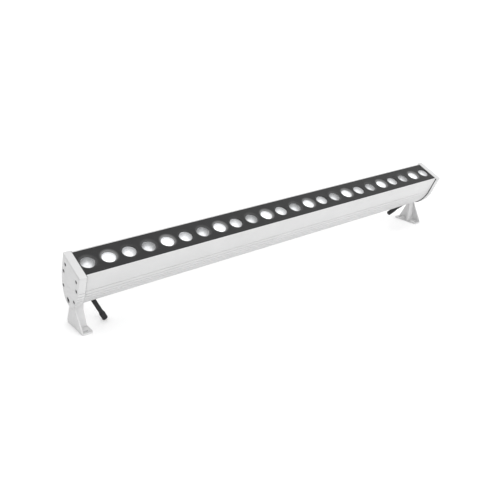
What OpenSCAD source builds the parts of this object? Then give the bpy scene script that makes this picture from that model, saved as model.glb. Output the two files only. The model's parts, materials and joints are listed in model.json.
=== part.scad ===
// LED strip batten: a long extruded lamp that tilts on two low feet.
// The feet stand on z = 0 with the tilt axis above them. +X runs along the lamp, -Y is its front.
// Every part of the lamp is drawn upright in the lamp's own frame, where Y is u, across the lamp, and
// Z is v, up through its window. The window's face is v = 0, and lamp_frame() tilts the whole lamp.

/* [Light engine] */
// Number of LEDs in the row
led_count = 24; // [12:6:30]
// Distance between neighbouring LEDs
led_pitch = 40.8; // [38:0.1:48]
// Distance from the last LED to the end of the window
led_margin = 16.8; // [16:0.1:30]
// Diameter of the lens face
lens_d = 27.6; // [20:0.1:28]

/* [Housing] */
// Width of the housing across its flat sides
housing_w = 64; // [62:1:70]
// Depth of the flat part of each side
flat_depth = 42; // [40:1:46]
// Depth of the whole housing below the window
housing_depth = 97.5; // [96:0.5:104]
// Radius of the rounded keel along the bottom
keel_r = 22; // [20:1:24]
// Thickness of the extruded wall
wall = 2; // [1.6:0.1:2.6]
// Width of the window panel
panel_w = 59; // [56:0.1:59.5]
// Number of fine grooves along each side
side_grooves = 6; // [0:1:6]

/* [End caps] */
// Length of each end cap
cap_length = 14; // [13:1:20]
// How far the cap stands proud of the housing's sides
cap_proud = 2.5; // [1:0.1:2.5]
// Thickness of the clamp strip along the top of each cap
strip_t = 3.5; // [2:0.1:4]

/* [Feet] */
// Height of the tilt axis above the stage
axis_height = 65.6; // [62:0.1:90]
// Distance of the tilt axis in front of the feet's centre line
axis_forward = 6; // [0:0.5:6]
// Forward tilt of the lamp at rest
lamp_tilt = 24; // [0:1:30]
// Width of each foot, front to back
foot_w = 72; // [64:1:90]
// Reach of the foot's flange inwards from its upright plate
flange_reach = 22; // [20:1:24]
// Thickness of the foot's plate and flange
foot_t = 3; // [2.5:0.1:4]
// Width of the fixing slots
slot_w = 5; // [4:0.1:6]
// Length of the fixing slots
slot_l = 11.5; // [8:0.1:12]
// Distance between the two slots of one foot
slot_spacing = 51; // [40:1:54]

/* [Cables] */
// Diameter of each cable
cable_d = 9; // [7:0.1:9]
// Length of the plug on the left cable
plug_length = 17; // [15:1:17]
// Length of the socket on the right cable
socket_length = 29; // [25:1:35]

/* [Hidden] */

$fn = 64;
LEFT = -1;
RIGHT = 1;

// Lengths along the lamp
window_length = (led_count - 1) * led_pitch + 2 * led_margin;
lamp_length = window_length + 2 * cap_length;
cap_x = lamp_length / 2 - cap_length;
gasket_t = 0.8;
gasket_proud = cap_proud - 1;
strip_proud = cap_proud + 0.5;
shadow_gap = 0.8;
shadow_depth = 2;
housing_end = cap_x - gasket_t;

// The housing's outline: a flat side, a long flank arc and a round keel, each tangent to the next
half_w = housing_w / 2;
keel_v = keel_r - housing_depth;
keel_drop = -keel_v - flat_depth;
flank_r = ((half_w * half_w) + keel_drop * keel_drop - keel_r * keel_r) / (2 * (half_w - keel_r));
keel_top = keel_v - keel_r * keel_drop / (flank_r - keel_r);
lip_height = 0.3;
cap_top = 0.65;
groove_r = 0.8;
groove_depth = 1.3;
groove_pitch = 8;
first_groove = -41;

// The window stack, from the top down
panel_t = 3;
lens_face_v = -2.4;
lens_hole_r = lens_d / 2 + 0.1;
sink_depth = 2.2;
seal_t = 1;
ledge_v = -panel_t - seal_t;
ledge_w = 3.3;
ledge_t = 4;
holder_top = -panel_t - 1.5;
board_top = -16.4;
board_t = 1.6;
board_w = 39;
web_v = board_top - board_t;
web_t = 3;
leds_per_board = 6;
board_count = led_count / leds_per_board;
board_gap = 6;
board_length = leds_per_board * led_pitch - 2 * board_gap;
board_screw_r = 1.25;

// The driver tray
tray_v = -46;
tray_w = 52;
tray_t = 1.6;
tray_length = 600;
tray_top = tray_v + tray_t;
rail_w = 6;
rail_t = 2;
tray_screws = [-280, -95, 95, 280];

// Cap screws, as (u, v) on one side of the cap
cap_screw_places = [[23, -19], [27, -39], [22.8, -72.5]];
cap_screw_r = 1.5;
cap_screw_head_r = 3.4;
cap_screw_head_h = 3;
cap_screw_grip = 11;
boss_r = 3.6;
fit = 0.05;

// The tilt joint: a keyhole channel along the keel, and a barrel on each foot that turns in it
axis_v = -90;
barrel_r = 6.5;
channel_wall_r = 10.5;
mouth_angle = 52;
roof_v = axis_v + channel_wall_r;
barrel_x = cap_x - 12;
barrel_end = cap_x - 0.3;
tilt_screw_r = 3;
tilt_head_r = 5;
tilt_head_h = 6;
tilt_washer_r = 6;
tilt_bore_r = 6.25;
tilt_bore_depth = 8;
washer_t = 1;

// Feet
plate_x = cap_x + 6;
flange_x = plate_x - flange_reach;
slot_x = plate_x - 10;
neck_t = 4;
plate_top = axis_height - 13;
plate_top_w = 19;
foot_corner_r = 5;
web_waist_z = 38;

// Glands and cables, each in a pocket milled into the keel
gland_left_x = 45 - lamp_length / 2;
gland_right_x = lamp_length / 2 - 35;
pocket_r = 8.5;
pocket_reach = 16;
pocket_v = -83.4;
gland_thread_r = 6;
gland_head_r = 7.5;
gland_head_h = 5;
gland_stop_v = -84.5;
gland_nut_h = 4;
seal_ring_t = 0.6;
vent_v = -48;
lead_d = 6;

// Cable routes in world Y and Z, with X measured from the gland
left_route = [[0, -8.2, 70.6], [0, -6.7, 67.2], [0.2, -5.2, 63.8], [0.7, -3.9, 60.4], [1.5, -2.9, 57],
    [2.6, -2.3, 53.7], [3.9, -2, 50.5], [5.3, -2, 47.3], [6.7, -2, 44.1], [8.1, -2, 40.9],
    [9.5, -2, 37.7], [10.9, -2, 34.5], [12.3, -2, 31.3], [13.7, -2, 28.1], [15.1, -2, 24.9],
    [16.5, -2, 21.7], [17.9, -2, 18.5], [19.3, -2, 15.3], [20.7, -2, 12.1]];
right_route = [[0, -8.2, 70.6], [0, -6.6, 66.9], [-0.3, -5.2, 63.7], [-1.2, -3.8, 60.7], [-2.7, -2.5, 58],
    [-4.7, -1.4, 55.5], [-7.1, -0.4, 53.5], [-10, 0.5, 51.8], [-13.2, 1.1, 50.5], [-16.4, 1.7, 49.4],
    [-19.7, 2.1, 48.4], [-23, 2.5, 47.4], [-26.3, 2.8, 46.4], [-29.6, 3, 45.5], [-32.9, 3, 44.7],
    [-36.3, 3, 43.8], [-39.7, 3, 42.9], [-43, 3, 42]];
plug_lean = 156.4;
socket_lean = 254.7;
connector_r = 5;
ring_r = 5.7;
cable_grip = 7;
cable_sides = 12;

// Colours
grey = [0.83, 0.84, 0.85];
black = [0.09, 0.09, 0.1];
panel_black = [0.2, 0.2, 0.21];
steel = [0.62, 0.63, 0.65];
rubber = [0.14, 0.14, 0.15];
board_green = [0.12, 0.38, 0.24];
clear = [0.9, 0.92, 0.95];

function led_x(i) = (i - (led_count - 1) / 2) * led_pitch;
function board_x(b) = (b - (board_count - 1) / 2) * leds_per_board * led_pitch;

// Half width of the outline at height v, on the flat side or the flank
function side_u(v) = v > -flat_depth ? half_w
    : half_w - flank_r + sqrt(flank_r * flank_r - (v + flat_depth) * (v + flat_depth));

// Sweeping a round tube along a route
function unit(a) = a / norm(a);
function tangent(p, i) = unit(p[min(i + 1, len(p) - 1)] - p[max(i - 1, 0)]);
function ring_points(p, i, r) = let (t = tangent(p, i), s = unit(cross(t, [0, 1, 0])), w = cross(t, s))
    [for (k = [0 : cable_sides - 1]) p[i] + r * (cos(360 * k / cable_sides) * s
        + sin(360 * k / cable_sides) * w)];
function tube_wall(rows) = [for (i = [0 : rows - 2], k = [0 : cable_sides - 1])
    [i * cable_sides + k, (i + 1) * cable_sides + k, (i + 1) * cable_sides + (k + 1) % cable_sides,
        i * cable_sides + (k + 1) % cable_sides]];

module tube(route, r) {
    rows = len(route);
    polyhedron(
        [for (i = [0 : rows - 1]) each ring_points(route, i, r)],
        concat(
            [[for (k = [0 : cable_sides - 1]) k]],
            tube_wall(rows),
            [[for (k = [cable_sides - 1 : -1 : 0]) (rows - 1) * cable_sides + k]]
        ),
        convexity = 6
    );
}

// Puts parts drawn upright in the lamp's frame at the lamp's tilt
module lamp_frame() {
    translate([0, -axis_forward, axis_height]) rotate([lamp_tilt, 0, 0]) translate([0, 0, -axis_v])
        children();
}

// Extrudes a section drawn as (u, v) along X, from x to x + length
module along_x(x, length) {
    translate([x, 0, 0]) rotate([90, 0, 90]) linear_extrude(length) children();
}

// Extrudes a section along X outwards from distance x to the lamp's end on one side
module toward_end(side, x, length) {
    along_x(side > 0 ? x : -x - length, length) children();
}

// A rod along X, outwards from distance x on one side
module rod(side, x, length, r, u, v) {
    toward_end(side, x, length) translate([u, v]) circle(r);
}

module outline(inset, top) {
    w = half_w - inset;
    translate([-w, -flat_depth]) square([2 * w, flat_depth + top]);
    intersection() {
        translate([half_w - flank_r, -flat_depth]) circle(flank_r - inset, $fn = 128);
        translate([flank_r - half_w, -flat_depth]) circle(flank_r - inset, $fn = 128);
        translate([-w, keel_top]) square([2 * w, -keel_top - flat_depth / 2]);
    }
    translate([0, keel_v]) circle(keel_r - inset);
}

module side_groove_cuts(proud) {
    if (side_grooves > 0) {
        for (i = [0 : side_grooves - 1], side = [LEFT, RIGHT]) {
            v = first_groove - i * groove_pitch;
            translate([side * (side_u(v) + proud + groove_r - groove_depth), v]) circle(groove_r);
        }
    }
}

module cap_screw_pattern() {
    for (place = cap_screw_places, side = [LEFT, RIGHT]) {
        translate([side * place[0], place[1]]) children();
    }
}

module channel_cut(r) {
    reach = 14;
    translate([0, axis_v]) circle(r);
    translate([0, axis_v]) polygon([[0, 0], [-reach * tan(mouth_angle), -reach],
        [reach * tan(mouth_angle), -reach]]);
}

module housing_ribs() {
    for (side = [LEFT, RIGHT]) {
        mirror([side > 0 ? 0 : 1, 0]) {
            translate([panel_w / 2 + fit, ledge_v - ledge_t]) square([half_w - panel_w / 2 - fit,
                ledge_t - ledge_v + lip_height]);
            translate([panel_w / 2 - ledge_w, ledge_v - ledge_t]) square([half_w - panel_w / 2 + ledge_w,
                ledge_t]);
            translate([half_w - rail_w - wall, tray_v - rail_t]) square([rail_w + wall, rail_t]);
        }
    }
    translate([-half_w, web_v - web_t]) square([housing_w, web_t]);
    translate([0, axis_v]) circle(channel_wall_r);
    translate([-channel_wall_r, axis_v]) square([2 * channel_wall_r, channel_wall_r]);
    cap_screw_pattern() circle(boss_r);
}

module housing_section() {
    difference() {
        union() {
            difference() {
                outline(0, lip_height);
                outline(wall, lip_height + 1);
            }
            intersection() {
                outline(wall / 2, lip_height);
                housing_ribs();
            }
        }
        channel_cut(barrel_r + fit);
        cap_screw_pattern() circle(cap_screw_r + fit);
        side_groove_cuts(0);
    }
}

module pocket(x, inwards) {
    translate([x, 0, pocket_v - 20]) cylinder(h = 20, r = pocket_r);
    translate([x + inwards * pocket_reach, 0, pocket_v - 20]) cylinder(h = 20, r = pocket_r);
    translate([x + inwards * pocket_reach / 2 - pocket_reach / 2, -pocket_r, pocket_v - 20])
        cube([pocket_reach, 2 * pocket_r, 20]);
    translate([x, 0, pocket_v - 1]) cylinder(h = 8, r = gland_thread_r + fit);
}

module housing() {
    color(grey) lamp_frame() difference() {
        along_x(-housing_end, 2 * housing_end) housing_section();
        pocket(gland_left_x, 1);
        pocket(gland_right_x, -1);
        led_screw_places() translate([0, 0, web_v - web_t - 1]) cylinder(h = web_t + 2, r = board_screw_r);
        tray_screw_places() translate([0, 0, tray_v - rail_t - 1])
            cylinder(h = rail_t + 2, r = board_screw_r);
    }
}

module window_panel() {
    color(panel_black) lamp_frame() difference() {
        translate([-cap_x + fit, -panel_w / 2, -panel_t]) cube([2 * (cap_x - fit), panel_w, panel_t]);
        for (i = [0 : led_count - 1]) {
            translate([led_x(i), 0, -panel_t - 1]) cylinder(h = panel_t + 2, r = lens_hole_r);
            translate([led_x(i), 0, -sink_depth]) cylinder(h = 2 * sink_depth, r1 = lens_hole_r,
                r2 = lens_hole_r + 2 * sink_depth);
        }
    }
}

module window_gasket() {
    color(rubber) lamp_frame() for (side = [LEFT, RIGHT]) {
        translate([-housing_end, side * (panel_w - ledge_w) / 2 - ledge_w / 2 + 0.3, ledge_v])
            cube([2 * housing_end, ledge_w - 0.6, seal_t]);
    }
}

module lenses() {
    flange_r = 15.5;
    color(clear) lamp_frame() for (i = [0 : led_count - 1]) {
        translate([led_x(i), 0, 0]) rotate_extrude() polygon([[0, lens_face_v], [lens_d / 2, lens_face_v],
            [lens_d / 2, -panel_t], [flange_r, -panel_t], [flange_r, holder_top], [12.5, holder_top],
            [5.2, -15], [3.6, -15], [3.6, -10.5], [0, -10.5]]);
    }
}

module lens_holders() {
    color(black) lamp_frame() for (i = [0 : led_count - 1]) {
        translate([led_x(i), 0, board_top]) difference() {
            cylinder(h = holder_top - board_top, r = 15.7);
            translate([0, 0, -1]) cylinder(h = holder_top - board_top + 2, r = 14.2);
        }
    }
}

module led_screw_places() {
    for (b = [0 : board_count - 1], i = [0 : 2], side = [LEFT, RIGHT]) {
        translate([board_x(b) + (i - 1) * 2 * led_pitch, side * 16.5, 0]) children();
    }
}

module led_boards() {
    color(board_green) lamp_frame() difference() {
        for (b = [0 : board_count - 1]) {
            translate([board_x(b) - board_length / 2, -board_w / 2, web_v])
                cube([board_length, board_w, board_t]);
        }
        led_screw_places() translate([0, 0, web_v - 1]) cylinder(h = board_t + 2, r = board_screw_r + fit);
    }
}

module leds() {
    color([0.95, 0.9, 0.6]) lamp_frame() for (i = [0 : led_count - 1]) {
        translate([led_x(i) - 2.5, -2.5, board_top]) cube([5, 5, 0.8]);
        translate([led_x(i), 0, board_top + 0.8]) cylinder(h = 1.4, r1 = 1.9, r2 = 0.9);
    }
}

module pan_screw(r, shank) {
    translate([0, 0, -shank]) cylinder(h = shank, r = r);
    difference() {
        cylinder(h = 1.6, r = 2 * r);
        translate([0, 0, 0.8]) cylinder(h = 1, r = r * 0.9, $fn = 6);
    }
}

module led_board_screws() {
    color(steel) lamp_frame() led_screw_places() translate([0, 0, board_top])
        pan_screw(board_screw_r - fit, 4);
}

module tray_screw_places() {
    for (x = tray_screws, side = [LEFT, RIGHT]) {
        translate([x, side * 24.5, 0]) children();
    }
}

module driver_board() {
    color(board_green) lamp_frame() difference() {
        translate([-tray_length / 2, -tray_w / 2, tray_v]) cube([tray_length, tray_w, tray_t]);
        tray_screw_places() translate([0, 0, tray_v - 1]) cylinder(h = tray_t + 2, r = board_screw_r + fit);
    }
}

module driver_screws() {
    color(steel) lamp_frame() tray_screw_places() translate([0, 0, tray_top])
        pan_screw(board_screw_r - fit, 3);
}

module driver_capacitors() {
    color([0.16, 0.2, 0.34]) lamp_frame() for (i = [0 : 5]) {
        translate([-150 + 18 * i, i % 2 == 0 ? -8 : 8, tray_top]) cylinder(h = 16, r = 6.3);
    }
}

module driver_coils() {
    color([0.7, 0.45, 0.2]) lamp_frame() for (x = [-230, 60, 130, 210]) {
        translate([x, 0, tray_top]) difference() {
            cylinder(h = 14, r = 13);
            translate([0, 0, 4]) cylinder(h = 11, r = 5);
        }
    }
}

module driver_terminals() {
    color([0.2, 0.5, 0.35]) lamp_frame() for (side = [LEFT, RIGHT], i = [-1 : 1]) {
        translate([side * 288 - 6, i * 9 - 4, tray_top]) cube([12, 8, 12]);
    }
}

module cap_section(top) {
    difference() {
        intersection() {
            outline(-cap_proud, cap_top);
            translate([-half_w - 5, -housing_depth - 5]) square([housing_w + 10, housing_depth + 5 + top]);
        }
        side_groove_cuts(cap_proud);
    }
}

module end_cap(side) {
    color(grey) lamp_frame() difference() {
        toward_end(side, cap_x, cap_length) cap_section(cap_top - strip_t);
        toward_end(side, cap_x - 1, cap_length + 2) cap_screw_pattern() circle(cap_screw_r + fit);
        toward_end(side, lamp_length / 2 - 3.4, 4) cap_screw_pattern() circle(cap_screw_head_r + 0.5);
        rod(side, cap_x - 1, cap_length, tilt_screw_r + fit, 0, axis_v);
        rod(side, lamp_length / 2 - tilt_bore_depth, tilt_bore_depth + 1, tilt_bore_r, 0, axis_v);
        if (side == RIGHT) {
            rod(side, cap_x - 1, cap_length, 6, 0, vent_v);
            rod(side, lamp_length / 2 - 3, 4, 8, 0, vent_v);
        }
    }
}

// The bar over the end of the window, with a shadow gap between it and the cap
module clamp_strip(side) {
    width = housing_w + 2 * strip_proud;
    color(grey) lamp_frame() {
        translate([side > 0 ? cap_x : -lamp_length / 2, -width / 2, cap_top - strip_t + shadow_gap])
            cube([cap_length, width, strip_t - shadow_gap]);
        translate([side > 0 ? cap_x : shadow_depth - lamp_length / 2, shadow_depth - width / 2,
            cap_top - strip_t])
            cube([cap_length - shadow_depth, width - 2 * shadow_depth, shadow_gap]);
    }
}

module cap_gasket(side) {
    color(rubber) lamp_frame() toward_end(side, housing_end, gasket_t) difference() {
        outline(-gasket_proud, 0);
        translate([-panel_w / 2 - 0.3, ledge_v - 1]) square([panel_w + 0.6, 1 - ledge_v + 1]);
        channel_cut(barrel_r + 0.5);
        cap_screw_pattern() circle(cap_screw_r + fit);
        translate([-board_w / 2 - 1, web_v]) square([board_w + 2, -web_v]);
        if (side == RIGHT) {
            translate([0, vent_v]) circle(6);
        }
    }
}

module cap_screws(side) {
    head_x = lamp_length / 2 - 3.4;
    color(steel) lamp_frame() difference() {
        union() {
            toward_end(side, head_x, cap_screw_head_h) cap_screw_pattern() circle(cap_screw_head_r);
            toward_end(side, cap_x - cap_screw_grip, head_x - cap_x + cap_screw_grip) cap_screw_pattern()
                circle(cap_screw_r);
        }
        toward_end(side, head_x + 1, 4) cap_screw_pattern() circle(1.9, $fn = 6);
    }
}

module vent_plug() {
    color(black) lamp_frame() difference() {
        union() {
            rod(RIGHT, cap_x, cap_length - 3, 5.95, 0, vent_v);
            rod(RIGHT, lamp_length / 2 - 3, 2.8, 7.5, 0, vent_v);
        }
        for (k = [0 : 5]) {
            rod(RIGHT, lamp_length / 2 - 2, 3, 0.8, 4.5 * cos(60 * k), vent_v + 4.5 * sin(60 * k));
        }
    }
}

module gland(x) {
    color(black) lamp_frame() translate([x, 0, 0]) difference() {
        union() {
            translate([0, 0, pocket_v - seal_ring_t - gland_head_h])
                cylinder(h = gland_head_h, r = gland_head_r);
            translate([0, 0, pocket_v - 1])
                cylinder(h = roof_v - pocket_v + gland_nut_h + 2, r = gland_thread_r);
        }
        translate([0, 0, gland_stop_v - 8]) cylinder(h = 8, r = cable_d / 2 + 0.1);
        translate([0, 0, gland_stop_v - 1]) cylinder(h = 30, r = lead_d / 2 + 0.1);
    }
}

module gland_seal(x) {
    color(rubber) lamp_frame() translate([x, 0, pocket_v - seal_ring_t]) difference() {
        cylinder(h = seal_ring_t, r = gland_head_r - 0.3);
        translate([0, 0, -1]) cylinder(h = seal_ring_t + 2, r = gland_thread_r + fit);
    }
}

module gland_nut(x) {
    color(black) lamp_frame() translate([x, 0, roof_v]) difference() {
        cylinder(h = gland_nut_h, r = 8.6, $fn = 6);
        translate([0, 0, -1]) cylinder(h = gland_nut_h + 2, r = gland_thread_r + fit);
    }
}

// The lead inside the housing, from the gland to the terminals at the end of the driver board
module inner_lead(x, side) {
    run = [[x, 0, gland_stop_v], [x, 0, -74], [x - side * 2, 0, -68], [x - side * 8, 0, -62],
        [x - side * 18, 0, -58], [x - side * 40, 0, -56], [side * 360, 0, -56], [side * 330, 0, -54],
        [side * 316, 0, -48], [side * 308, 0, -42], [side * 302, 0, -38.4], [side * 294.2, 0, -38.4]];
    color(rubber) lamp_frame() tube(run, lead_d / 2);
}

module foot_plate() {
    polygon([[-foot_w / 2, 0], [foot_w / 2, 0], [plate_top_w / 2, plate_top - 3],
        [plate_top_w / 2 - 3, plate_top], [3 - plate_top_w / 2, plate_top],
            [-plate_top_w / 2, plate_top - 3]]);
}

// The foot's outline in plan, with rounded corners
module footprint(side) {
    straight_x = flange_reach - 2 * foot_corner_r;
    straight_y = foot_w - 2 * foot_corner_r;
    mirror([side > 0 ? 0 : 1, 0]) translate([flange_x + foot_corner_r, -straight_y / 2]) {
        translate([-foot_corner_r, 0]) square([flange_reach, straight_y]);
        translate([0, -foot_corner_r]) square([straight_x, foot_w]);
        for (x = [0, straight_x], y = [0, straight_y]) {
            translate([x, y]) circle(foot_corner_r);
        }
    }
}

module slot_cuts(side) {
    straight = slot_l - slot_w;
    for (y = [-1, 1]) {
        translate([side * slot_x, y * slot_spacing / 2]) {
            square([straight, slot_w], center = true);
            translate([-straight / 2, 0]) circle(slot_w / 2);
            translate([straight / 2, 0]) circle(slot_w / 2);
        }
    }
}

// The upright web between plate and flange, whose top carries the neck of the barrel
module foot_web(side) {
    mirror([side > 0 ? 0 : 1, 0, 0]) translate([0, neck_t / 2, 0]) rotate([90, 0, 0]) linear_extrude(neck_t)
        polygon([[flange_x, 0], [plate_x - 1, 0], [plate_x - 1, plate_top - 1], [barrel_end, plate_top - 1],
            [barrel_end, axis_height], [barrel_x, axis_height], [barrel_x, plate_top],
            [flange_x + 2, plate_top - 1], [barrel_x - 0.4, web_waist_z]]);
}

module foot(side) {
    color(grey) difference() {
        intersection() {
            linear_extrude(axis_height + 2 * barrel_r) footprint(side);
            union() {
                linear_extrude(foot_t) footprint(side);
                toward_end(side, plate_x - foot_t, foot_t) foot_plate();
                translate([0, -axis_forward, 0]) foot_web(side);
                rod(side, barrel_x, barrel_end - barrel_x, barrel_r, -axis_forward, axis_height);
            }
        }
        translate([0, 0, -1]) linear_extrude(foot_t + 2) slot_cuts(side);
        rod(side, barrel_x - 1, barrel_end - barrel_x + 2, tilt_screw_r, -axis_forward, axis_height);
    }
}

module tilt_washer(side) {
    washer_x = lamp_length / 2 - tilt_bore_depth + fit;
    color(steel) difference() {
        rod(side, washer_x, washer_t, tilt_washer_r, -axis_forward, axis_height);
        rod(side, washer_x - 1, washer_t + 2, tilt_screw_r + fit, -axis_forward, axis_height);
    }
}

module tilt_screw(side) {
    head_x = lamp_length / 2 - tilt_bore_depth + fit + washer_t;
    color(steel) difference() {
        union() {
            rod(side, head_x, tilt_head_h, tilt_head_r, -axis_forward, axis_height);
            rod(side, barrel_x, head_x - barrel_x, tilt_screw_r, -axis_forward, axis_height);
        }
        toward_end(side, head_x + 3, 4) translate([-axis_forward, axis_height]) circle(2.9, $fn = 6);
    }
}

module cable(x, route) {
    color(rubber) translate([x, 0, 0]) tube(route, cable_d / 2);
}

// Draws along +Z from the back of a connector, with Z along the last stretch of its cable
module on_cable(x, route, lean) {
    translate(route[len(route) - 1] + [x, 0, 0]) rotate([0, lean, 0])
        translate([0, 0, -cable_grip]) children();
}

module connector_body(length, taper, mouth) {
    color(black) difference() {
        union() {
            cylinder(h = taper, r1 = cable_d / 2 + 0.4, r2 = connector_r);
            translate([0, 0, taper]) cylinder(h = length - taper, r = connector_r);
        }
        translate([0, 0, -1]) cylinder(h = cable_grip + 1, r = cable_d / 2);
        translate([0, 0, length - mouth]) cylinder(h = mouth + 1, r = 3.9);
    }
}

module connector_ring(start, length) {
    color(black) translate([0, 0, start]) difference() {
        cylinder(h = length, r = ring_r);
        translate([0, 0, -1]) cylinder(h = length + 2, r = connector_r + fit);
        for (k = [0 : 11]) {
            rotate([0, 0, 30 * k]) translate([ring_r + 0.3, 0, -1]) cylinder(h = length + 2, r = 0.6);
        }
    }
}

module plug_body() {
    on_cable(gland_left_x, left_route, plug_lean) connector_body(plug_length, 2, 8);
}

module plug_ring() {
    on_cable(gland_left_x, left_route, plug_lean) connector_ring(plug_length - 14, 13.7);
}

module plug_pins() {
    color([0.8, 0.7, 0.4]) on_cable(gland_left_x, left_route, plug_lean) {
        translate([0, 0, plug_length - 8]) cylinder(h = 5, r = 3.85);
        for (k = [0 : 3]) {
            rotate([0, 0, 90 * k]) translate([2, 0, plug_length - 4]) cylinder(h = 3.4, r = 0.6);
        }
    }
}

module socket_body() {
    on_cable(gland_right_x, right_route, socket_lean) connector_body(socket_length, 7, 12);
}

module socket_ring() {
    on_cable(gland_right_x, right_route, socket_lean) connector_ring(socket_length - 23, 22);
}

module socket_insert() {
    color(black) on_cable(gland_right_x, right_route, socket_lean) difference() {
        translate([0, 0, socket_length - 12]) cylinder(h = 11.5, r = 3.85);
        for (k = [0 : 3]) {
            rotate([0, 0, 90 * k]) translate([2, 0, socket_length - 7]) cylinder(h = 8, r = 0.7);
        }
    }
}

housing();
window_panel();
window_gasket();
lenses();
lens_holders();
led_boards();
leds();
led_board_screws();
driver_board();
driver_capacitors();
driver_coils();
driver_terminals();
driver_screws();
end_cap(LEFT);  // end_cap_left
end_cap(RIGHT);  // end_cap_right
clamp_strip(LEFT);  // clamp_strip_left
clamp_strip(RIGHT);  // clamp_strip_right
cap_gasket(LEFT);  // cap_gasket_left
cap_gasket(RIGHT);  // cap_gasket_right
cap_screws(LEFT);  // cap_screws_left
cap_screws(RIGHT);  // cap_screws_right
vent_plug();
gland(gland_left_x);  // gland_left
gland(gland_right_x);  // gland_right
gland_nut(gland_left_x);  // gland_nut_left
gland_nut(gland_right_x);  // gland_nut_right
gland_seal(gland_left_x);  // gland_seal_left
gland_seal(gland_right_x);  // gland_seal_right
inner_lead(gland_left_x, LEFT);  // inner_lead_left
inner_lead(gland_right_x, RIGHT);  // inner_lead_right
foot(LEFT);  // foot_left
foot(RIGHT);  // foot_right
tilt_screw(LEFT);  // tilt_screw_left
tilt_screw(RIGHT);  // tilt_screw_right
tilt_washer(LEFT);  // tilt_washer_left
tilt_washer(RIGHT);  // tilt_washer_right
cable(gland_left_x, left_route);  // cable_left
cable(gland_right_x, right_route);  // cable_right
plug_body();
plug_ring();
plug_pins();
socket_body();
socket_ring();
socket_insert();
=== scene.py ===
"""LED strip batten: a tilting extruded lamp on two feet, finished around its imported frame."""
import json
import math

import bmesh
import bpy
from mathutils import Matrix, Vector


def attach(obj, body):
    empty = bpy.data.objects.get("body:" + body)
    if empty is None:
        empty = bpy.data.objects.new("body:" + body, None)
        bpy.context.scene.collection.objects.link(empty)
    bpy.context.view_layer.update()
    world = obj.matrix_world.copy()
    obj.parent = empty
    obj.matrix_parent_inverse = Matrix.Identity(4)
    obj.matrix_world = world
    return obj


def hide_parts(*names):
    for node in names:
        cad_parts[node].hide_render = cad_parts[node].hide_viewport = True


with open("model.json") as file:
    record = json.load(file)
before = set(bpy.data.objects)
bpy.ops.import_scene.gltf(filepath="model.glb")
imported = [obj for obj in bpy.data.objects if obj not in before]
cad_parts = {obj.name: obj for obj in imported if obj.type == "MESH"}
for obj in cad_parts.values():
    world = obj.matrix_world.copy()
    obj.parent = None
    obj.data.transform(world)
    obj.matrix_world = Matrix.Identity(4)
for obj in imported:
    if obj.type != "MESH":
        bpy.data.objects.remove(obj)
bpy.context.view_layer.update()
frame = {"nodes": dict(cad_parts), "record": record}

MM = 0.001
NODES = frame["nodes"]
SLOTS = {part["node"]: part["material_slot"] for part in frame["record"]["subparts"]}
JOINTS = {joint["name"]: joint for joint in frame["record"]["behaviour"]["joints"]}

# The lamp's own frame: X along the lamp, Y across it, Z up through its window, whose face is z = 0
AXIS = Vector(JOINTS["tilt_left"]["pos_m"])
TILT = math.radians(24)
AXIS_BELOW_WINDOW = 90 * MM
LAMP = (
    Matrix.Translation((0, AXIS.y, AXIS.z))
    @ Matrix.Rotation(TILT, 4, "X")
    @ Matrix.Translation((0, 0, AXIS_BELOW_WINDOW))
)

# The LED row
LED_COUNT = 24
LED_PITCH = 40.8 * MM
LENS_R = 13.8 * MM
LENS_SEGMENTS = 48
# The three levels of light, in the order in which they repeat along the row
LEVELS = ("dim", "bright", "mid")
# How far the painted glow on the mask reaches beyond a lens's rim
PAINTED_GLOW_REACH = 6.5 * MM


# ---------------------------------------------------------------- camera and cords


def make_camera():
    """The photograph's viewpoint: in front, to the left and above, looking along the lamp."""
    camera = bpy.data.objects.new("camera", bpy.data.cameras.new("camera"))
    bpy.context.scene.collection.objects.link(camera)
    bpy.context.scene.camera = camera
    camera.data.sensor_width = 36
    camera.data.lens = 44.5
    camera.data.clip_end = 600
    forward = Vector((0.5671, 0.7241, -0.3924)).normalized()
    right = Vector((0.7884, -0.6151, 0.0044))
    right = (right - forward * right.dot(forward)).normalized()
    up = right.cross(forward)
    place = Vector((-0.8566, -1.0004, 0.5947))
    camera.matrix_world = Matrix(
        (
            (right.x, up.x, -forward.x, place.x),
            (right.y, up.y, -forward.y, place.y),
            (right.z, up.z, -forward.z, place.z),
            (0, 0, 0, 1),
        )
    )


CABLE_D = 9 * MM
GLAND_LEFT_X = -455 * MM
GLAND_RIGHT_X = 465 * MM
# Routes in millimetres, with X measured from the gland, as in part.scad
LEFT_ROUTE = (
    (0, -8.2, 70.6), (0, -6.7, 67.2), (0.2, -5.2, 63.8), (0.7, -3.9, 60.4), (1.5, -2.9, 57),
    (2.6, -2.3, 53.7), (3.9, -2, 50.5), (5.3, -2, 47.3), (6.7, -2, 44.1), (8.1, -2, 40.9),
    (9.5, -2, 37.7), (10.9, -2, 34.5), (12.3, -2, 31.3), (13.7, -2, 28.1), (15.1, -2, 24.9),
    (16.5, -2, 21.7), (17.9, -2, 18.5), (19.3, -2, 15.3), (20.7, -2, 12.1),
)
RIGHT_ROUTE = (
    (0, -8.2, 70.6), (0, -6.6, 66.9), (-0.3, -5.2, 63.7), (-1.2, -3.8, 60.7), (-2.7, -2.5, 58),
    (-4.7, -1.4, 55.5), (-7.1, -0.4, 53.5), (-10, 0.5, 51.8), (-13.2, 1.1, 50.5), (-16.4, 1.7, 49.4),
    (-19.7, 2.1, 48.4), (-23, 2.5, 47.4), (-26.3, 2.8, 46.4), (-29.6, 3, 45.5), (-32.9, 3, 44.7),
    (-36.3, 3, 43.8), (-39.7, 3, 42.9), (-43, 3, 42),
)


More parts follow.
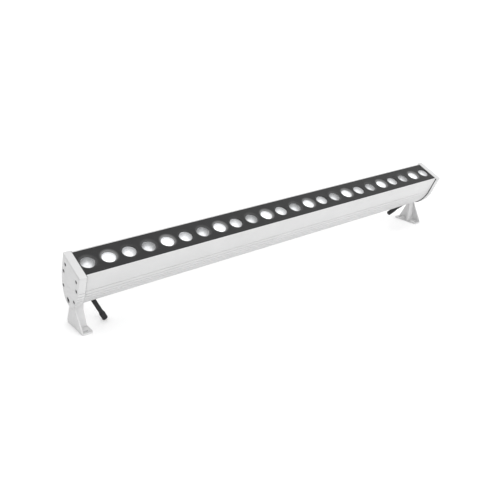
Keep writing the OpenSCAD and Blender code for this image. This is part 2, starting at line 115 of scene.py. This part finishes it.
def make_cable(name, gland_x, route, material):
    """A free cable from its gland to its connector, as a curve along the CAD tube's own route."""
    points = [Vector((gland_x + x * MM, y * MM, z * MM)) for x, y, z in route]
    curve = bpy.data.curves.new(name, "CURVE")
    curve.dimensions = "3D"
    curve.bevel_depth = CABLE_D / 2
    curve.bevel_resolution = 6
    curve.resolution_u = 6
    curve.use_fill_caps = True
    spline = curve.splines.new("BEZIER")
    spline.bezier_points.add(len(points) - 1)
    for knot, point in zip(spline.bezier_points, points):
        knot.co = point
        knot.handle_left_type = "AUTO"
        knot.handle_right_type = "AUTO"
    cable = bpy.data.objects.new(name, curve)
    bpy.context.scene.collection.objects.link(cable)
    cable.data.materials.append(material)
    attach(cable, "lamp")
    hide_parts(name.replace("_jacket", ""))


# ---------------------------------------------------------------- shader helpers

# Most of a noise texture's values lie between these two
NOISE_LOW = 0.3
NOISE_HIGH = 0.7


class Shader:
    """A material being built: a Principled shader and a few short ways to feed it."""

    def __init__(self, name):
        self.material = bpy.data.materials.new(name)
        self.material.use_nodes = True
        self.tree = self.material.node_tree
        self.bsdf = self.tree.nodes["Principled BSDF"]
        self.coords = self.add("ShaderNodeTexCoord").outputs["Object"]

    def add(self, kind, **values):
        node = self.tree.nodes.new(kind)
        for key, value in values.items():
            setattr(node, key, value)
        return node

    def link(self, source, target):
        self.tree.links.new(source, target)

    def set(self, socket, value):
        self.bsdf.inputs[socket].default_value = value

    def scaled(self, scale):
        mapping = self.add("ShaderNodeMapping")
        mapping.inputs["Scale"].default_value = scale
        self.link(self.coords, mapping.inputs["Vector"])
        return mapping.outputs["Vector"]

    def noise(self, scale, detail=3.0, stretch=(1, 1, 1)):
        noise = self.add("ShaderNodeTexNoise")
        noise.inputs["Scale"].default_value = scale
        noise.inputs["Detail"].default_value = detail
        self.link(self.scaled(stretch), noise.inputs["Vector"])
        return noise.outputs["Fac"]

    def remap(self, source, low, high):
        """Stretches a noise's usual range to low..high."""
        remap = self.add("ShaderNodeMapRange")
        remap.inputs["From Min"].default_value = NOISE_LOW
        remap.inputs["From Max"].default_value = NOISE_HIGH
        remap.inputs["To Min"].default_value = low
        remap.inputs["To Max"].default_value = high
        self.link(source, remap.inputs["Value"])
        return remap.outputs["Result"]

    def ramp(self, source, stops):
        ramp = self.add("ShaderNodeValToRGB")
        elements = ramp.color_ramp.elements
        while len(elements) < len(stops):
            elements.new(0.5)
        for element, (place, colour) in zip(elements, stops):
            element.position = place
            element.color = (*colour, 1)
        self.link(source, ramp.inputs["Fac"])
        return ramp.outputs["Color"]

    def bump(self, height, strength, distance, under=None):
        bump = self.add("ShaderNodeBump")
        bump.inputs["Strength"].default_value = strength
        bump.inputs["Distance"].default_value = distance
        self.link(height, bump.inputs["Height"])
        if under is not None:
            self.link(under, bump.inputs["Normal"])
        self.link(bump.outputs["Normal"], self.bsdf.inputs["Normal"])
        return bump.outputs["Normal"]

    def math(self, operation, first, second=None, third=None):
        node = self.add("ShaderNodeMath", operation=operation)
        for socket, value in zip(node.inputs, (first, second, third)):
            if value is None:
                continue
            if isinstance(value, (int, float)):
                socket.default_value = value
            else:
                self.link(value, socket)
        return node.outputs[0]


def tinted(colour, factor):
    return tuple(channel * factor for channel in colour)


def mottled(name, colour, roughness, grain, bump=0.15, metallic=0.0, gloss=0.5):
    """A moulded or wound finish: small changes of tone and gloss, and a fine grain."""
    s = Shader(name)
    stops = [(NOISE_LOW, tinted(colour, 0.94)), (NOISE_HIGH, tinted(colour, 1.06))]
    s.link(s.ramp(s.noise(60, 4), stops), s.bsdf.inputs["Base Color"])
    wear = s.remap(s.noise(grain / 3, 2), roughness - 0.05, roughness + 0.05)
    s.link(wear, s.bsdf.inputs["Roughness"])
    s.bump(s.noise(grain, 2), bump, 0.1 * MM)
    s.set("Metallic", metallic)
    s.set("Specular IOR Level", gloss)
    return s.material


# ---------------------------------------------------------------- materials


def grey_paint():
    """Light grey powder coat: soft orange peel over faint lines from the extrusion die."""
    s = Shader("grey_paint")
    tone = (0.6, 0.6, 0.602)
    streaks = s.noise(900, 2, stretch=(0.012, 1, 1))
    patches = s.noise(22, 5)
    blend = s.math("MULTIPLY_ADD", streaks, 0.35, patches)
    stops = [(0.45, tinted(tone, 0.972)), (0.9, tinted(tone, 1.02))]
    s.link(s.ramp(blend, stops), s.bsdf.inputs["Base Color"])
    s.link(s.remap(s.noise(700, 2), 0.42, 0.54), s.bsdf.inputs["Roughness"])
    peel = s.bump(s.noise(1400, 2), 0.12, 0.06 * MM)
    s.bump(streaks, 0.06, 0.08 * MM, under=peel)
    s.set("Specular IOR Level", 0.3)
    return s.material


def painted_led_glow(s):
    """Painted glow: the mask itself emits light around each lens, as if the lenses spilled light on it,
    strongest beside the bright ones.
    """
    split = s.add("ShaderNodeSeparateXYZ")
    s.link(s.coords, split.inputs[0])
    along = s.math("ADD", split.outputs["X"], LED_COUNT / 2 * LED_PITCH)
    step = s.math("DIVIDE", along, LED_PITCH)
    index = s.math("FLOOR", step)
    inside = s.math("SUBTRACT", s.math("SUBTRACT", step, index), 0.5)
    dx = s.math("MULTIPLY", inside, LED_PITCH)
    radius = s.math("SQRT", s.math("ADD", s.math("POWER", dx, 2), s.math("POWER", split.outputs["Y"], 2)))
    beyond = s.math("DIVIDE", s.math("SUBTRACT", radius, LENS_R), PAINTED_GLOW_REACH)
    falloff = s.math("MAXIMUM", s.math("SUBTRACT", 1, beyond), 0)
    soft = s.math("POWER", falloff, 2.6)
    place = s.math("MODULO", index, len(LEVELS))
    is_bright = s.math("COMPARE", place, LEVELS.index("bright"), 0.1)
    is_dim = s.math("COMPARE", place, LEVELS.index("dim"), 0.1)
    level = s.math("ADD", s.math("MULTIPLY", is_bright, 0.22), s.math("MULTIPLY", is_dim, 0.04))
    return s.math("MULTIPLY", soft, s.math("ADD", level, 0.05))


def window_panel():
    """Satin black mask, with a fine grain and a painted glow around the lenses."""
    s = Shader("window_panel")
    stops = [(NOISE_LOW, (0.017, 0.017, 0.0175)), (NOISE_HIGH, (0.023, 0.023, 0.0235))]
    s.link(s.ramp(s.noise(45, 5), stops), s.bsdf.inputs["Base Color"])
    s.link(s.remap(s.noise(500, 3), 0.42, 0.54), s.bsdf.inputs["Roughness"])
    s.set("Specular IOR Level", 0.22)
    s.bump(s.noise(1800, 2), 0.08, 0.04 * MM)
    s.set("Emission Color", (1, 1, 1, 1))
    # Painted glow: emission on the black mask stands in for light spilling from the lenses
    s.link(painted_led_glow(s), s.bsdf.inputs["Emission Strength"])
    return s.material


def lens_glass():
    """Clear moulded face of a lens."""
    s = Shader("lens_glass")
    s.set("Base Color", (0.97, 0.98, 1, 1))
    s.set("Transmission Weight", 1.0)
    s.set("IOR", 1.3)
    s.set("Roughness", 0.06)
    s.bump(s.noise(350, 1), 0.04, 0.1 * MM)
    return s.material


# Light along a lens's lit cup, from its foot (0) to its rim (1)
OPTIC_LIGHT = {
    "dim": ((0.0, 1.0), (0.22, 0.8), (0.45, 0.42), (0.72, 0.26), (0.9, 0.16), (1.0, 0.36)),
    "mid": ((0.0, 1.3), (0.22, 1.05), (0.45, 0.72), (0.72, 0.5), (0.9, 0.34), (1.0, 0.6)),
    "bright": ((0.0, 1.6), (0.22, 1.5), (0.45, 1.25), (0.72, 0.95), (0.9, 0.7), (1.0, 0.6)),
}
# Heights of a lens: its clear face, the rim of its lit cup and the foot of that cup
LENS_FACE_Z = -2.6 * MM
OPTIC_TOP_Z = LENS_FACE_Z - 1.6 * MM
OPTIC_FOOT_Z = LENS_FACE_Z - 10.2 * MM


def optic_light(level):
    """The lit flank of a lens: brightest beside its LED and fading up to its rim, with faint facets."""
    s = Shader("optic_" + level)
    split = s.add("ShaderNodeSeparateXYZ")
    s.link(s.coords, split.inputs[0])
    rise = s.math("SUBTRACT", split.outputs["Z"], OPTIC_FOOT_Z)
    height = s.math("DIVIDE", rise, OPTIC_TOP_Z - OPTIC_FOOT_Z)
    stops = [(place, (tone, tone, tone)) for place, tone in OPTIC_LIGHT[level]]
    s.link(s.ramp(height, stops), s.bsdf.inputs["Emission Color"])
    s.link(s.remap(s.noise(260, 2), 0.86, 1.04), s.bsdf.inputs["Emission Strength"])
    s.set("Base Color", (0.06, 0.06, 0.06, 1))
    s.set("Roughness", 0.3)
    return s.material


def brushed(name, colour, roughness):
    """Turned or stamped metal with fine scratches."""
    s = Shader(name)
    scratches = s.noise(1500, 3, stretch=(0.15, 1, 1))
    stops = [(NOISE_LOW, tinted(colour, 0.9)), (NOISE_HIGH, tinted(colour, 1.06))]
    s.link(s.ramp(scratches, stops), s.bsdf.inputs["Base Color"])
    s.link(s.remap(scratches, roughness - 0.06, roughness + 0.08), s.bsdf.inputs["Roughness"])
    s.bump(scratches, 0.08, 0.05 * MM)
    s.set("Metallic", 1.0)
    return s.material


def circuit_board():
    """Green solder mask with a faint pattern of copper tracks under it."""
    s = Shader("circuit_board")
    tracks = s.add("ShaderNodeTexBrick")
    tracks.inputs["Scale"].default_value = 160
    tracks.inputs["Color1"].default_value = (0.02, 0.15, 0.07, 1)
    tracks.inputs["Color2"].default_value = (0.025, 0.18, 0.085, 1)
    tracks.inputs["Mortar"].default_value = (0.05, 0.24, 0.12, 1)
    s.link(s.coords, tracks.inputs["Vector"])
    s.link(tracks.outputs["Color"], s.bsdf.inputs["Base Color"])
    s.link(s.remap(s.noise(400, 2), 0.25, 0.4), s.bsdf.inputs["Roughness"])
    return s.material


MATERIALS = {
    "grey_paint": grey_paint(),
    "window_panel": window_panel(),
    "seal_rubber": mottled("seal_rubber", (0.018, 0.018, 0.019), 0.75, 1600, gloss=0.2),
    "lens": lens_glass(),
    "black_plastic": mottled("black_plastic", (0.022, 0.022, 0.023), 0.5, 1800, gloss=0.25),
    "terminal_plastic": mottled("terminal_plastic", (0.03, 0.2, 0.1), 0.4, 1500),
    "circuit_board": circuit_board(),
    "led_chip": mottled("led_chip", (0.75, 0.62, 0.2), 0.4, 2500),
    "steel": brushed("steel", (0.55, 0.55, 0.57), 0.32),
    "dark_steel": brushed("dark_steel", (0.07, 0.07, 0.075), 0.4),
    "capacitor_sleeve": mottled("capacitor_sleeve", (0.03, 0.05, 0.16), 0.3, 800),
    "coil_copper": mottled("coil_copper", (0.45, 0.2, 0.07), 0.35, 1200, metallic=0.8),
    "cable_rubber": mottled("cable_rubber", (0.022, 0.022, 0.023), 0.6, 1400, bump=0.2, gloss=0.2),
    "contact_metal": brushed("contact_metal", (0.8, 0.6, 0.25), 0.25),
}
OPTICS = {level: optic_light(level) for level in LEVELS}


# ---------------------------------------------------------------- mesh helpers

# Points closer than this are one point
MERGE_DISTANCE = 1e-6
# Neighbouring faces that turn by less than this are one face
FLAT_ANGLE = math.radians(0.5)
# Edges sharper than this are bevelled
BEVEL_ANGLE = math.radians(35)


def add_object(name, mesh, body, place=None):
    piece = bpy.data.objects.new(name, mesh)
    bpy.context.scene.collection.objects.link(piece)
    if place is not None:
        piece.matrix_world = place
    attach(piece, body)
    return piece


def add_bevel(piece, width):
    bevel = piece.modifiers.new("edges", "BEVEL")
    bevel.width = width
    bevel.segments = 2
    bevel.limit_method = "ANGLE"
    bevel.angle_limit = BEVEL_ANGLE
    bevel.use_clamp_overlap = True
    bevel.harden_normals = True


def body_of_node(node):
    for body, members in frame["record"]["behaviour"]["bodies"].items():
        if node in members:
            return body
    raise KeyError(node)


def soften(node, width):
    """A copy of a CAD node with its sharp edges broken, which stands for that node."""
    mesh = NODES[node].data.copy()
    work = bmesh.new()
    work.from_mesh(mesh)
    bmesh.ops.remove_doubles(work, verts=work.verts, dist=MERGE_DISTANCE)
    bmesh.ops.dissolve_limit(
        work,
        angle_limit=FLAT_ANGLE,
        verts=work.verts,
        edges=work.edges,
        delimit={"MATERIAL"},
    )
    bmesh.ops.triangulate(work, faces=[face for face in work.faces if len(face.verts) > 4])
    work.to_mesh(mesh)
    work.free()
    for polygon in mesh.polygons:
        polygon.use_smooth = True
    mesh.materials.clear()
    mesh.materials.append(MATERIALS[SLOTS[node]])
    piece = add_object(node + "_finished", mesh, body_of_node(node))
    add_bevel(piece, width)
    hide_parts(node)
    return piece


def revolve(work, profile, centre):
    """Turns a profile of (radius, height) about the vertical axis through centre."""
    rings = []
    for radius, height in profile:
        # On the axis a ring is a single point
        count = LENS_SEGMENTS if radius > 0 else 1
        ring = []
        for k in range(count):
            angle = 2 * math.pi * k / count
            across = Vector((radius * math.cos(angle), radius * math.sin(angle), height))
            ring.append(work.verts.new(centre + across))
        rings.append(ring)
    for lower, upper in zip(rings, rings[1:]):
        for k in range(LENS_SEGMENTS):
            corners = [lower[k % len(lower)], lower[(k + 1) % len(lower)]]
            corners += [upper[(k + 1) % len(upper)], upper[k % len(upper)]]
            corners = list(dict.fromkeys(corners))
            if len(corners) > 2:
                work.faces.new(corners).smooth = True


def revolved_mesh(name, profile, centres, material):
    """One mesh with the profile turned about every centre."""
    work = bmesh.new()
    for centre in centres:
        revolve(work, profile, centre)
    bmesh.ops.recalc_face_normals(work, faces=work.faces)
    mesh = bpy.data.meshes.new(name)
    work.to_mesh(mesh)
    work.free()
    mesh.materials.append(material)
    return mesh


# ---------------------------------------------------------------- lenses


def led_centres():
    return [Vector(((i - (LED_COUNT - 1) / 2) * LED_PITCH, 0, 0)) for i in range(LED_COUNT)]


def make_lenses():
    """Each lens: a clear domed face with a rolled edge, over a deep lit cup."""
    dome = [(0, 0.45), (5, 0.38), (9.5, 0.18), (12.4, 0)]
    edge = [(13.5, -0.5), (13.5, -1.4)]
    under = [(12.4, -1.4), (9.5, -1.2), (0, -1.0)]
    profile = [(radius * MM, LENS_FACE_Z + height * MM) for radius, height in dome + edge + under]
    mesh = revolved_mesh("lens_faces", profile, led_centres(), MATERIALS["lens"])
    faces = add_object("lens_faces", mesh, "lamp", LAMP)
    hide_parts("lenses")

    cup = [(0, -9.7), (2.2, -9.3), (3.4, -10.1), (6, -8.7)]
    cup += [(8.6, -6.3), (10.8, -3.9), (12.6, -2.1), (13.1, -1.6)]
    outside = [(13.3, -2.3), (11, -5.1), (6.2, -9.9), (0, -11.2)]
    profile = [(radius * MM, LENS_FACE_Z + height * MM) for radius, height in cup + outside]
    for offset, level in enumerate(LEVELS):
        name = "lens_optics_" + level
        mesh = revolved_mesh(name, profile, led_centres()[offset::len(LEVELS)], OPTICS[level])
        add_object(name, mesh, "lamp", LAMP)


# ---------------------------------------------------------------- window panel


def make_window_panel():
    """The mask in the lamp's own frame, so that its painted glow follows the lenses."""
    mesh = NODES["window_panel"].data.copy()
    mesh.transform(LAMP.inverted())
    work = bmesh.new()
    work.from_mesh(mesh)
    bmesh.ops.remove_doubles(work, verts=work.verts, dist=MERGE_DISTANCE)
    work.to_mesh(mesh)
    work.free()
    mesh.materials.clear()
    mesh.materials.append(MATERIALS["window_panel"])
    panel = add_object("window_mask", mesh, "lamp", LAMP)
    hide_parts("window_panel")


# ---------------------------------------------------------------- the object


# Bevel widths in millimetres
EDGE_WIDTHS = {
    "housing": 0.25,
    "end_cap_left": 0.5,
    "end_cap_right": 0.5,
    "clamp_strip_left": 0.45,
    "clamp_strip_right": 0.45,
    "foot_left": 0.6,
    "foot_right": 0.6,
    "cap_screws_left": 0.2,
    "cap_screws_right": 0.2,
    "tilt_screw_left": 0.4,
    "tilt_screw_right": 0.4,
    "tilt_washer_left": 0.15,
    "tilt_washer_right": 0.15,
    "gland_left": 0.4,
    "gland_right": 0.4,
    "vent_plug": 0.3,
    "plug_body": 0.4,
    "plug_ring": 0.25,
    "socket_body": 0.4,
    "socket_ring": 0.25,
}


def finish_cad_nodes():
    """Gives every CAD node its material, and softens the ones that are seen."""
    for node, obj in NODES.items():
        obj.data.materials.clear()
        obj.data.materials.append(MATERIALS[SLOTS[node]])
    return {node: soften(node, width * MM) for node, width in EDGE_WIDTHS.items()}


# ---------------------------------------------------------------- floor and light


def make_floor():
    """A plain pale floor, wide enough to fill the frame."""
    mesh = bpy.data.meshes.new("floor")
    work = bmesh.new()
    bmesh.ops.create_grid(work, x_segments=1, y_segments=1, size=200)
    work.to_mesh(mesh)
    work.free()
    floor = bpy.data.objects.new("floor", mesh)
    bpy.context.scene.collection.objects.link(floor)
    s = Shader("floor")
    s.set("Base Color", (1, 1, 1, 1))
    s.set("Roughness", 0.9)
    s.set("Specular IOR Level", 0.1)
    mesh.materials.append(s.material)


def make_light():
    """A white studio, a little dimmer on the left, with a soft key from the front."""
    world = bpy.data.worlds.new("studio")
    bpy.context.scene.world = world
    world.use_nodes = True
    nodes = world.node_tree.nodes
    links = world.node_tree.links
    background = nodes["Background"]
    background.inputs["Color"].default_value = (1, 1, 1, 1)
    split = nodes.new("ShaderNodeSeparateXYZ")
    links.new(nodes.new("ShaderNodeTexCoord").outputs["Generated"], split.inputs[0])
    fade = nodes.new("ShaderNodeMapRange")
    fade.inputs["From Min"].default_value = -1
    fade.inputs["From Max"].default_value = 0.1
    fade.inputs["To Min"].default_value = 0.72
    fade.inputs["To Max"].default_value = 1.18
    links.new(split.outputs["X"], fade.inputs["Value"])
    links.new(fade.outputs["Result"], background.inputs["Strength"])
    key = bpy.data.objects.new("key", bpy.data.lights.new("key", "SUN"))
    key.data.energy = 0.8
    key.data.angle = math.radians(50)
    key.rotation_euler = Vector((-0.1, 1, -0.7)).to_track_quat("-Z", "Y").to_euler()
    bpy.context.scene.collection.objects.link(key)
    bpy.context.scene.view_settings.view_transform = "Standard"


make_camera()
finished = finish_cad_nodes()
make_lenses()
make_window_panel()
make_cable(
    "cable_left_jacket",
    GLAND_LEFT_X,
    LEFT_ROUTE,
    MATERIALS["cable_rubber"],
)
make_cable(
    "cable_right_jacket",
    GLAND_RIGHT_X,
    RIGHT_ROUTE,
    MATERIALS["cable_rubber"],
)
make_floor()
make_light()
